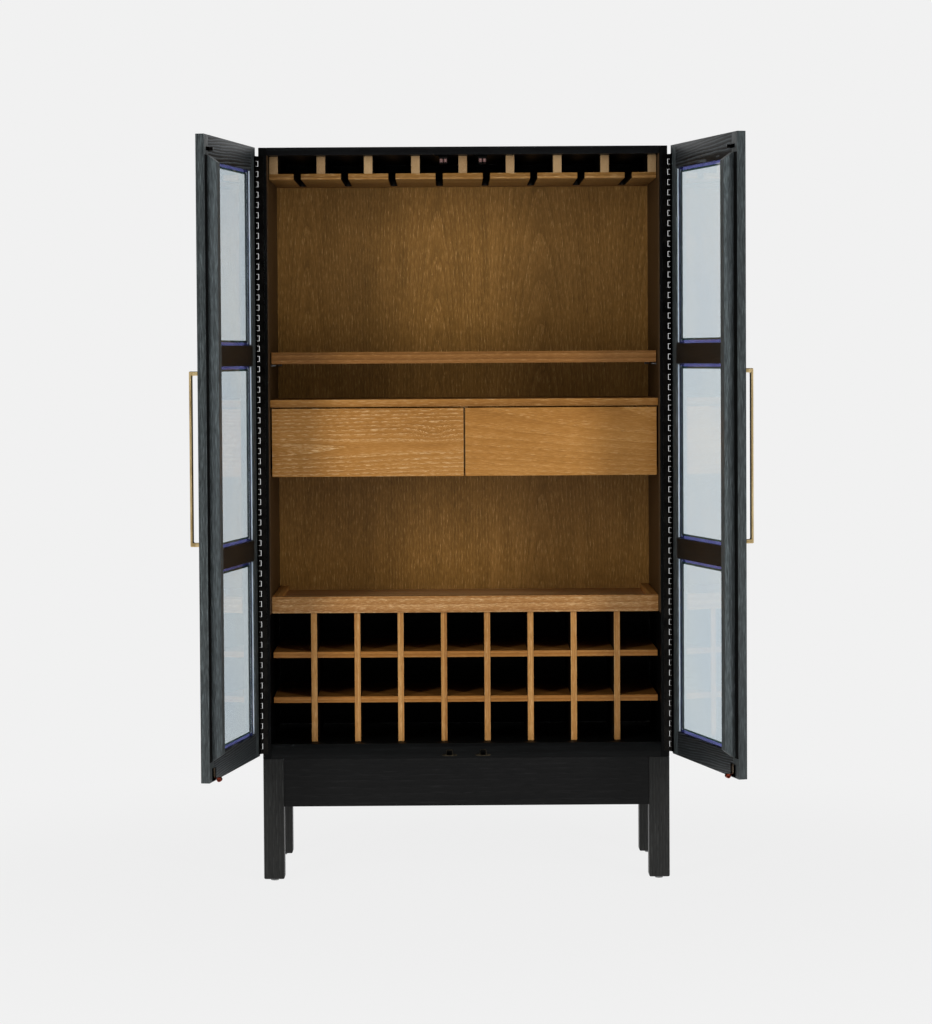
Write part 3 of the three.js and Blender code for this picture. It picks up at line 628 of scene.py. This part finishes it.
def makeStemRack():
    low, high = boxOf("stemware_rack")
    boardTop = low.z + stem["boardThickness"]
    pitch = (high.x - low.x - stem["blockWidth"]) / stem["slots"]
    slotted = addBlock("stemBoard", (low.x, high.x), (low.y, high.y), (low.z, boardTop))
    radius = stem["slotWidth"] / 2
    endY = high.y - stem["rearLand"] - radius
    firstX = low.x + stem["blockWidth"] / 2 + pitch / 2
    for index in range(stem["slots"]):
        x = firstX + index * pitch
        cutAway(slotted, addBlock(f"slotCutter{index}", about(x, stem["slotWidth"]), (low.y - past, endY),
                                  (low.z - past, boardTop + past)))
        cutAway(slotted, addRod(f"slotEnd{index}", radius, (x, endY, (low.z + boardTop) / 2),
                                stem["cutterHeight"], sides=stem["slotSides"]))
    fit(slotted, "case", "limed_oak", stemOak, "stemware_rack", arris=stem["arris"])
    rim = stem["bareRim"]
    paint(slotted, shadedSlot, lambda face: abs(face.normal.z) < stem["wallSlope"]
          and low.y + rim < face.center.y / mm < high.y - rim and low.x + rim < face.center.x / mm < high.x - rim)
    for index in range(stem["slots"] + 1):
        x = low.x + index * pitch
        block = addBlock(f"stemBlock{index + 1}", (x, x + stem["blockWidth"]), (low.y, high.y), (boardTop, high.z))
        fit(block, "case", "limed_oak", limedBlock, "stemware_rack", arris=stem["blockArris"])
        paint(block, shadedSlot, lambda face: abs(face.normal.x) > square)


makeStemRack()

# The spring clips at the doors' feet enter two mouths in the bottom panel, each framed by a strike plate
mouth = {"middle": -15.04, "span": 42, "width": 13.5, "foot": 315, "head": 327.2, "depth": 18, "plateCut": 18}
footPlate = {"width": 29, "tip": 5, "tipTaper": 0.2, "foot": 312.5, "head": 318, "thickness": 1, "archWidth": 18,
             "archHead": 329, "archReach": 0.25, "archTaper": 0.82, "archOverlap": 4, "arris": 0.3}


def mouthBlock(x, ys):
    return addBlock("mouth", about(x, mouth["width"]), ys, (mouth["foot"], mouth["head"]))


def makeBottomPanel():
    low, high = boxOf("bottom_panel")
    panel = addBlock("bottomPanelBoard", (low.x, high.x), (low.y, high.y), (low.z, high.z))
    soften(panel, edges["arris"])
    for sign, side in sideName.items():
        x = mouth["middle"] + sign * mouth["span"]
        cutAway(panel, mouthBlock(x, (low.y - past, low.y + mouth["depth"])))
        makeStrikePlate(f"{side}StrikePlate", x, low.y)
    fit(panel, "case", "black_oak", blackBottom, "bottom_panel")


# A strike plate lies on the panel's front: pointed ends, and a raised arch over its mouth
def makeStrikePlate(name, x, frontY):
    plateY = frontY - footPlate["thickness"]
    plate = addBlock(name, about(x, footPlate["width"]), (plateY, frontY), (footPlate["foot"], footPlate["head"]))
    for sign in (-1, 1):
        reshape(plate, "FACE", facing(x=sign), extrudeBy(sign * footPlate["tip"], 0, 0),
                scaleBy((1, 1, footPlate["tipTaper"])))
    arch = addBlock("arch", about(x, footPlate["archWidth"]), (plateY - footPlate["archReach"], frontY),
                    (footPlate["head"] - footPlate["archOverlap"], footPlate["archHead"]))
    reshape(arch, "FACE", facing(z=1),
            scaleBy((footPlate["archTaper"], 1, 1), (x, frontY, footPlate["archHead"])))
    for part in (plate, arch):
        cutAway(part, mouthBlock(x, about(frontY, mouth["plateCut"])))
        soften(part, footPlate["arris"])
    fit(joinUp(name, plate, arch), "case", "black_metal", blackenedBrass)


# A roller catch: a flange and bent bracket under the top, holding two upright rollers above its foot
catch = {"flangeWidth": 42, "flangeThickness": 1.2, "setBack": 1, "armDrop": 8, "armWidth": 24, "backY": 44,
         "footWidth": 20, "footThickness": 3.4, "arris": 0.5, "rollerRadius": 3.9, "rollerSpan": 4.9,
         "rollerY": 36.2, "rollerHeight": 9.3, "rollerGap": 0.15, "rollerSides": 28, "bore": 2.4, "boreDepth": 0.3,
         "rollerArris": 0.7}


def makeRollerCatch(name):
    low, high = boxOf(name)
    x, y = (low.x + high.x) / 2, (low.y + high.y) / 2
    under = high.z - catch["flangeThickness"]
    armFoot = under - catch["armDrop"]
    front = low.y + catch["setBack"]
    back = catch["backY"]
    footTop = low.z + catch["footThickness"]
    flange = addBlock(f"{name}_flange", about(x, catch["flangeWidth"]), (low.y, high.y), (under, high.z))
    arms = addBlock("arms", about(x, catch["armWidth"]), (front, high.y), (armFoot, under))
    reshape(arms, "FACE", facing(z=-1), scaleBy((catch["footWidth"] / catch["armWidth"], 1, 1), (x, y, armFoot)))
    rear = addBlock("back", about(x, catch["footWidth"]), (back, high.y), (low.z, armFoot))
    foot = addBlock("foot", about(x, catch["footWidth"]), (front, back + catch["setBack"]), (low.z, footTop))
    bracket = joinUp(f"{name}_bracket", flange, arms, rear, foot)
    fit(bracket, "case", "black_metal", blackenedSteel, name, arris=catch["arris"])
    rollerZ = footTop + catch["rollerGap"] + catch["rollerHeight"] / 2
    for sign, letter in ((-1, "A"), (1, "B")):
        roller = addRod(f"{name}_roller{letter}", catch["rollerRadius"],
                        (x + sign * catch["rollerSpan"], catch["rollerY"], rollerZ), catch["rollerHeight"],
                        sides=catch["rollerSides"])
        reshape(roller, "FACE", lambda face: abs(face.normal.z) > square,
                insetBy(catch["bore"], -catch["boreDepth"], use_individual=True))
        fit(roller, "case", None, rollerNylon, name, arris=catch["rollerArris"], segments=3)


makeBottomPanel()
for name in ("left_roller_catch", "right_roller_catch"):
    makeRollerCatch(name)
print("armoire: fittings")


# Doors: modelled shut, then turned about the hinge to the open pose. Distances along a door are from its hinge axis.

door = {"hingeEdge": 4.9, "width": 506.5, "innerFace": -1.7, "thickness": 21, "foot": 316.3, "head": 1832,
        "hingeStile": 40, "freeStile": 39.5, "glazingStrip": 15, "rail": 58.3, "muntin": 50, "arris": 0.9,
        "grooveLand": 3, "grooveDepth": 2, "battenEdge": 27, "battenEnd": 47.5, "feltGap": 0.3, "feltSunk": 0.2,
        "feltArris": 0.4}
pane = {"inset": 8, "thickness": 4, "edgeThickness": 1.6, "outerBand": 7.5, "innerBand": 5, "broadArea": 0.05,
        "beadWidth": 1.6, "beadDepths": (4.4, 7.8), "beadEnd": 2, "beadArris": 0.5}


def findHinge(side):
    joint = next(j for j in frame["joints"] if j["name"] == f"{side}_door_hinge")
    turn = -joint["axis"][2] * joint["range_deg"][0]
    return Vector(joint["pos_m"]), math.radians(turn)


class Door:
    def __init__(self, side):
        self.side = side
        self.body = f"{side}_door"
        self.sign = -1 if side == "left" else 1
        self.hinge, self.turn = findHinge(side)
        self.pieces = []

    def xs(self, *distances):
        return [self.hinge.x / mm - self.sign * u for u in distances]

    def ys(self, *depths):
        return [self.hinge.y / mm + v for v in depths]

    def block(self, name, us, vs, zs):
        piece = addBlock(f"{self.side}{name}", self.xs(*us), self.ys(*vs), zs)
        self.pieces.append(piece)
        return piece

    def open(self):
        turned = Matrix.Rotation(self.turn, 4, "Z")
        for piece in self.pieces:
            piece.matrix_world = Matrix.Translation(self.hinge) @ turned @ Matrix.Translation(-self.hinge)
        settle(*self.pieces)


def makeDoorFrame(leaf):
    inner = door["innerFace"]
    faces = (inner, inner - door["thickness"])
    near = door["hingeEdge"]
    far = near + door["width"]
    openNear = near + door["hingeStile"]
    stileNear = far - door["freeStile"]
    openFar = stileNear - door["glazingStrip"]
    foot, head = door["foot"], door["head"]
    openFoot, openHead = foot + door["rail"], head - door["rail"]
    paneHeight = (head - foot - 2 * door["rail"] - 2 * door["muntin"]) / 3
    step = paneHeight + door["muntin"]
    boards = [leaf.block("HingeStile", (near, openNear), faces, (foot, head)),
              leaf.block("FreeStile", (stileNear, far), faces, (foot, head)),
              leaf.block("GlazingStrip", (openFar, stileNear), faces, (openFoot, openHead))]
    grooveNear, grooveFar = far - door["grooveLand"], far - door["battenEdge"]
    grooveFoot, grooveHead = foot + door["battenEnd"], head - door["battenEnd"]
    cutAway(boards[1], addBlock("feltGroove", leaf.xs(grooveNear, grooveFar),
                                leaf.ys(inner - door["grooveDepth"], inner + past), (grooveFoot, grooveHead)))
    rails = [leaf.block("BottomRail", (openNear, stileNear), faces, (foot, openFoot)),
             leaf.block("TopRail", (openNear, stileNear), faces, (openHead, head))]
    muntins = []
    for index in (1, 2):
        low = openFoot + index * step - door["muntin"]
        muntins.append(leaf.block(f"Muntin{index}", (openNear, openFar), faces, (low, low + door["muntin"])))
    for group, material in ((boards, doorUpright), (rails, doorRail[leaf.side]), (muntins, doorMuntin[leaf.side])):
        for piece in group:
            fit(piece, leaf.body, "black_oak", material, f"{leaf.side}_door_frame", arris=door["arris"])
    for index in range(3):
        low = openFoot + index * step
        makePane(leaf, index + 1, (openNear, openFar), (low, low + paneHeight))
        bead = leaf.block(f"GlazingBead{index + 1}", (openNear, openNear + pane["beadWidth"]),
                          [inner - depth for depth in pane["beadDepths"]],
                          (low + pane["beadEnd"], low + paneHeight - pane["beadEnd"]))
        fit(bead, leaf.body, None, vinylAndHighlight, arris=pane["beadArris"])
    gap = door["feltGap"]
    felt = leaf.block("FeltStrip", (grooveNear - gap, grooveFar + gap),
                      (inner - door["grooveDepth"], inner - door["feltSunk"]), (grooveFoot + gap, grooveHead - gap))
    fit(felt, leaf.body, None, blackFelt, arris=door["feltArris"])


# A pane with its edge ground down in two bands on the inner side
def makePane(leaf, index, us, zs):
    back = door["innerFace"] - pane["inset"] - pane["thickness"]
    slope = (pane["thickness"] - pane["edgeThickness"]) / (pane["outerBand"] + pane["innerBand"])
    glass = leaf.block(f"Pane{index}", us, (back, back + pane["edgeThickness"]), zs)
    for band in ("outerBand", "innerBand"):
        reshape(glass, "FACE", lambda face: facing(y=1)(face) and face.calc_area() > pane["broadArea"],
                insetBy(pane[band], pane[band] * slope, use_even_offset=True))
    middleX, middleZ = sum(leaf.xs(*us)) / 2, sum(zs) / 2
    halfX, halfZ = abs(us[1] - us[0]) / 2, abs(zs[1] - zs[0]) / 2
    glass.data.materials.clear()
    for material in (clearGlass, violetBevel, tealBevel):
        glass.data.materials.append(material)
    for face in glass.data.polygons:
        inset = min(halfX - abs(face.center.x / mm - middleX), halfZ - abs(face.center.z / mm - middleZ))
        if face.normal.y > 0.5 and face.area < pane["broadArea"]:
            face.material_index = 1 if inset < pane["outerBand"] else 2
    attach(glass, leaf.body)
    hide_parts(f"{leaf.side}_door_pane_{index}")


# Piano hinge: each leaf has every other knuckle, which a tab joins to its plate. Depths are from the axis.
hinge = {"foot": 321, "head": 1811, "knuckles": 117, "gap": 0.7, "radius": 3.75, "sides": 14, "arris": 0.5,
         "arrisFrom": 60, "leafEdge": 17.4, "leafRoot": 4.6, "leafArris": 0.25, "tabNear": 3, "tabOverlap": 0.4,
         "door": {"first": 1, "depths": (-1.4, -0.2), "outward": 1},
         "case": {"first": 0, "depths": (0.2, 1.4), "outward": -1}}
screw = {"count": 12, "end": 25, "radius": 3, "height": 0.6, "sides": 20, "sunk": 0.13, "offCentre": 1,
         "crossLength": 1.1, "crossWidth": 0.8, "crossFloor": 0.05, "crossReach": 2, "arris": 0.12}


def makeHingeLeaf(leaf, part):
    own = hinge[part]
    name = f"{leaf.side}Hinge{part.title()}Leaf"
    pitch = (hinge["head"] - hinge["foot"]) / hinge["knuckles"]
    plate = addBlock("plate", leaf.xs(hinge["leafRoot"], hinge["leafEdge"]), leaf.ys(*own["depths"]),
                     (hinge["foot"], hinge["head"]))
    soften(plate, hinge["leafArris"], 1)
    low = hinge["foot"] + own["first"] * pitch + hinge["gap"] / 2
    length = pitch - hinge["gap"]
    axis = leaf.hinge / mm
    knuckle = addRod("knuckle", hinge["radius"], (axis.x, axis.y, low + length / 2), length, sides=hinge["sides"])
    soften(knuckle, hinge["arris"], 1, hinge["arrisFrom"])
    tab = addBlock("tab", leaf.xs(hinge["tabNear"], hinge["leafRoot"] + hinge["tabOverlap"]),
                   leaf.ys(*own["depths"]), (low, low + length))
    for piece in (knuckle, tab):
        repeatAlong(piece, len(range(own["first"], hinge["knuckles"], 2)), (0, 0, 2 * pitch))
    whole = joinUp(name, plate, knuckle, tab)
    screws = makeScrews(leaf, f"{name}Screws", own)
    if part == "door":
        leaf.pieces += [whole, screws]
    body = leaf.body if part == "door" else "case"
    fit(whole, body, "black_metal", blackenedSteel, f"{leaf.side}_hinge_{part}_leaf")
    fit(screws, body, "black_metal", blackenedSteel)


# Countersunk screws with a cross recess, in a row down the leaf
def makeScrews(leaf, name, own):
    outward = own["outward"]
    x = leaf.xs((hinge["leafRoot"] + hinge["leafEdge"]) / 2 + screw["offCentre"])[0]
    y = leaf.ys(min(own["depths"], key=abs))[0]
    z = hinge["foot"] + screw["end"]
    head = addRod(name, screw["radius"], (x, y - outward * screw["sunk"], z), screw["height"], "y", screw["sides"])
    long, wide = screw["radius"] * screw["crossLength"], screw["crossWidth"]
    for width, height in ((long, wide), (wide, long)):
        cutAway(head, addBlock("recess", about(x, width),
                               (y - screw["crossFloor"], y + outward * screw["crossReach"]), about(z, height)))
    soften(head, screw["arris"], 1)
    span = hinge["head"] - hinge["foot"] - 2 * screw["end"]
    repeatAlong(head, screw["count"], (0, 0, span / (screw["count"] - 1)))
    return head


# Top strike: a plate with a waisted spear that the rollers grip. Its reach is from the door's inner face.
strike = {"plateNear": 459, "plateFar": 494, "plateThickness": 1, "plateArris": 0.3, "middle": 464.4, "foot": 1794.6,
          "head": 1803.4, "inset": 0.3, "width": 6.8, "neckDepth": 6, "neck": 0.6, "waist": 1.2, "reach": 10,
          "tip": (0.45, 1, 0.9), "tipDepth": 0.8, "arris": 0.35}


def makeTopStrike(leaf):
    inner = door["innerFace"]
    face = inner + strike["plateThickness"]
    plate = leaf.block("StrikePlate", (strike["plateNear"], strike["plateFar"]), (inner, face),
                       (strike["foot"], strike["head"]))
    fit(plate, leaf.body, "black_metal", blackenedSteel, arris=strike["plateArris"], segments=1)
    middle, neckDepth = strike["middle"], strike["neckDepth"]
    spear = leaf.block("StrikeSpear", about(middle, strike["width"]), (face, inner + neckDepth),
                       (strike["foot"] + strike["inset"], strike["head"] - strike["inset"]))
    centre = (leaf.xs(middle)[0], leaf.ys(inner + neckDepth)[0], (strike["foot"] + strike["head"]) / 2)
    reshape(spear, "FACE", facing(y=1),
            scaleBy((strike["neck"], 1, 1), centre),
            extrudeBy(0, strike["waist"], 0),
            scaleBy((1 / strike["neck"], 1, 1), centre),
            extrudeBy(0, strike["reach"] - neckDepth - strike["waist"], 0),
            scaleBy(strike["tip"], centre))
    fit(spear, leaf.body, "black_metal", blackenedSteel, arris=strike["arris"])
    # The spear's tip is drawn in bright zinc: partly worn bare metal, partly a painted glint
    tip = leaf.ys(inner + strike["reach"] - strike["tipDepth"])[0] * mm
    paint(spear, zincSteel, lambda part: part.center.y > tip)


# Spring clip: a strip bent down from its plate to a curl. Each bend has its depth from the inner face and its height.
clip = {"middle": 470.9, "plateWidth": 35, "plateThickness": 1, "plateFoot": 318.5, "plateHead": 348.5,
        "plateArris": 0.5, "stripWidth": 12, "stripThickness": 0.8, "arris": 0.25, "curlDepth": 13.4,
        "curlHeight": 321.2, "curlRadius": 5.6, "curlSides": 28, "boreRadius": 3.4, "boreDepth": 4, "copperOver": 0.3,
        "bends": ((1.8, 347), (1.85, 343.5), (1.85, 328), (1.95, 326.4), (5.5, 324.9), (9.6, 324.2))}


def makeSpringClip(leaf):
    inner = door["innerFace"]
    middle = clip["middle"]
    plate = leaf.block("ClipPlate", about(middle, clip["plateWidth"]), (inner, inner + clip["plateThickness"]),
                       (clip["plateFoot"], clip["plateHead"]))
    fit(plate, leaf.body, "black_metal", blackenedSteel, arris=clip["plateArris"])
    depth, height = clip["bends"][0]
    strip = leaf.block("ClipStrip", about(middle, clip["stripWidth"]),
                       (inner + depth - clip["stripThickness"], inner + depth), (height, height + 1))
    for end, start in zip(clip["bends"][1:], clip["bends"]):
        lowest = min(vert.co.z for vert in strip.data.vertices) + tolerance
        reshape(strip, "FACE", lambda part: all(vert.co.z < lowest for vert in part.verts),
                extrudeBy(0, end[0] - start[0], end[1] - start[1]))
    centre = (leaf.xs(middle)[0], leaf.ys(inner + clip["curlDepth"])[0], clip["curlHeight"])
    curl = addRod("clipCurl", clip["curlRadius"], centre, clip["stripWidth"], "x", clip["curlSides"])
    for end in (-1, 1):
        reshape(curl, "FACE", facing(x=end), insetBy(clip["curlRadius"] - clip["boreRadius"]),
                extrudeBy(-end * clip["boreDepth"], 0, 0))
    leaf.pieces.remove(strip)
    whole = joinUp(f"{leaf.side}SpringClip", strip, curl)
    fit(whole, leaf.body, "steel", springSteel, arris=clip["arris"])
    copperTop = (clip["curlHeight"] + clip["curlRadius"] + clip["copperOver"]) * mm
    paint(whole, springCopper, lambda part: part.center.z < copperTop)
    leaf.pieces.append(whole)


batten = {"arris": 1}
handle = {"arris": 2.5, "segments": 3}
for side in ("left", "right"):
    leaf = Door(side)
    makeDoorFrame(leaf)
    makeHingeLeaf(leaf, "door")
    makeHingeLeaf(leaf, "case")
    makeTopStrike(leaf)
    makeSpringClip(leaf)
    leaf.open()
    dress(f"{side}_door_batten", doorBatten, batten["arris"])
    dress(f"{side}_door_handle", handleBrass[side], handle["arris"], handle["segments"])
print("armoire: doors")


# Stage: floor, world, lamps and camera

stage = {"pale": "#f1f1f1", "reach": 14, "worldLight": 0.09, "frontGloss": 0.12, "frontFrom": -0.7, "frontTo": 0.75,
         "maskNear": 0.7, "maskFar": 2.2, "nearGlow": 0.955, "bounce": 0.36}


def visibleRay(add):
    rays = add("LightPath").outputs
    first = add("Math", {0: rays["Is Camera Ray"], 1: rays["Is Glossy Ray"]}, "ADD")
    return add("Math", {0: first, 1: rays["Is Transmission Ray"]}, "ADD", use_clamp=True)


# The floor glows at its own colour away from the piece, and lets its soft shadow show under it
def makeFloor():
    bpy.ops.mesh.primitive_plane_add(size=2 * stage["reach"], location=(0, 0, 0))
    floor = nameIt(bpy.context.object, "studioFloor")
    material, add, coordinate = startMaterial("palePaperFloor")
    far = add("VectorMath", {0: coordinate.outputs["Object"]}, "LENGTH")
    mask = add("MapRange", {
        "Value": far.outputs["Value"], "From Min": stage["maskNear"], "From Max": stage["maskFar"],
        "To Min": stage["nearGlow"]}, interpolation_type="SMOOTHSTEP")
    seen = add("Math", {0: mask, 1: visibleRay(add)}, "MULTIPLY")
    share = add("Math", {0: seen, 1: stage["bounce"]}, "MAXIMUM")
    paper = add("BsdfDiffuse", {"Color": linear(stage["pale"])})
    glow = add("Emission", {"Color": linear(stage["pale"]), "Strength": 1})
    add("OutputMaterial", {"Surface": add("MixShader", {0: share, 1: paper, 2: glow})})
    floor.data.materials.append(material)


# The studio is pale all round, but its front, behind the camera, is dim where gloss mirrors it
def makeWorld():
    world = bpy.data.worlds.new("paleStudio")
    bpy.context.scene.world = world
    world.use_nodes = True
    world.node_tree.nodes.clear()
    add = partial(addNode, world.node_tree)
    parts = add("SeparateXYZ", {0: add("TexCoord").outputs["Generated"]})
    front = add("MapRange", {
        "Value": parts.outputs["Y"], "From Min": stage["frontFrom"], "From Max": stage["frontTo"],
        "To Min": stage["frontGloss"]}, interpolation_type="SMOOTHSTEP")
    glossy = add("LightPath").outputs["Is Glossy Ray"]
    strength = add("MixRGB", {"Fac": glossy, "Color1": linear("#ffffff"), "Color2": front})
    shown = add("Background", {"Color": linear(stage["pale"]), "Strength": strength})
    light = add("Background", {"Color": linear("#ffffff"), "Strength": stage["worldLight"]})
    add("OutputWorld", {"Surface": add("MixShader", {0: visibleRay(add), 1: light, 2: shown})})


# Two tall strip lamps stand at the front corners
lamps = {"places": {"leftLamp": (-2.12, -3.95, 1.75), "rightLamp": (2.47, -3.95, 1.75)}, "aim": (0, 0.1, 1.5),
         "width": 0.6, "height": 3, "power": 95}


def makeLamps():
    for name, place in lamps["places"].items():
        bpy.ops.object.light_add(type="AREA", location=place)
        lamp = bpy.context.object
        lamp.name = name
        lamp.data.shape = "RECTANGLE"
        lamp.data.size = lamps["width"]
        lamp.data.size_y = lamps["height"]
        lamp.data.energy = lamps["power"]
        lamp.visible_glossy = False
        lamp.rotation_euler = (Vector(lamps["aim"]) - Vector(place)).to_track_quat("-Z", "Y").to_euler()


# The camera was fitted to the edges in the photograph by least squares
view = {"place": (-0.0529, -7.74633, 1.3126), "yaw": 0.0053, "pitch": 0.0376, "roll": -0.006,
        "focalPixels": 3119.37, "opticalY": 473.18, "imageHeight": 1024, "sensor": 36}


def makeCamera():
    yaw, pitch, roll = view["yaw"], view["pitch"], view["roll"]
    forward = Vector((math.sin(yaw) * math.cos(pitch), math.cos(yaw) * math.cos(pitch), -math.sin(pitch)))
    right = Vector((math.cos(yaw), -math.sin(yaw), 0))
    up = right.cross(forward)
    across = right * math.cos(roll) + up * math.sin(roll)
    upright = up * math.cos(roll) - right * math.sin(roll)
    bpy.ops.object.camera_add()
    camera = bpy.context.object
    camera.name = "photoView"
    axes = Matrix((across, upright, -forward)).transposed().to_4x4()
    camera.matrix_world = Matrix.Translation(view["place"]) @ axes
    camera.data.sensor_width = view["sensor"]
    camera.data.lens = view["focalPixels"] / view["imageHeight"] * view["sensor"]
    camera.data.shift_y = (view["opticalY"] - view["imageHeight"] / 2) / view["imageHeight"]
    bpy.context.scene.camera = camera


makeFloor()
makeWorld()
makeLamps()
makeCamera()
bpy.context.scene.view_settings.view_transform = "Standard"
print("armoire: stage")
